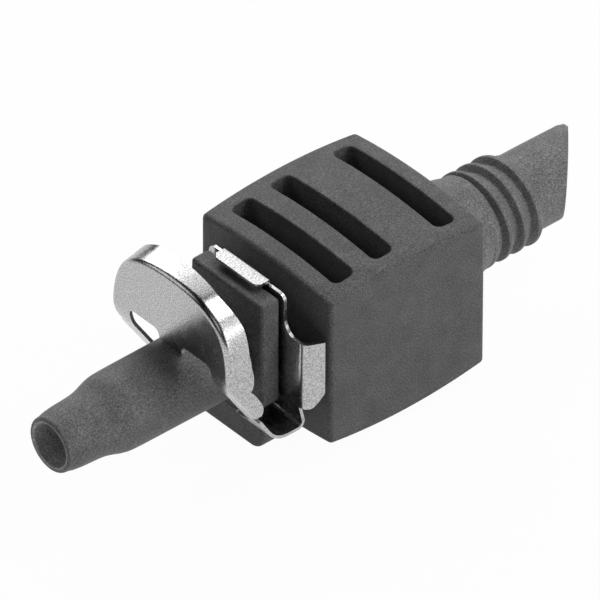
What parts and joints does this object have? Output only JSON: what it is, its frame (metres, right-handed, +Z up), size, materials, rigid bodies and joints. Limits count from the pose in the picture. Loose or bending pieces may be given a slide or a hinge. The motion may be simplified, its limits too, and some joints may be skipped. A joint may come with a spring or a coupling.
{
  "type": "straight tube connector",
  "caption": "Straight quick-release connector: tube nozzle with a spring clip on a flange, slotted housing with crowned top, and a threaded, bevelled tube end on one bore.",
  "frame": {"origin": "on the bore axis, in the plane of the housing's front face, which faces the nozzle", "axes": "+X along the bore towards the threaded end, +Y across to the side with the long point of the bevel, +Z up through the slotted top"},
  "size_m": [0.0502, 0.014, 0.0166],
  "materials": {
    "body_plastic": "dark grey, finely textured moulding",
    "clip_steel": "bright spring steel sheet"
  },
  "bodies": {
    "connector": {"connector_body": "body_plastic", "clip_anchor": "clip_steel"},
    "lever": {"clip_lever": "clip_steel"}
  },
  "joints": [
    {"name": "clip_press", "type": "hinge", "parent": "connector", "child": "lever", "pos_m": [-0.0031, 0, -0.0032], "axis": [0, 1, 0], "range_deg": [0, 15], "stiffness_Nm_per_rad": 0.12}
  ]
}
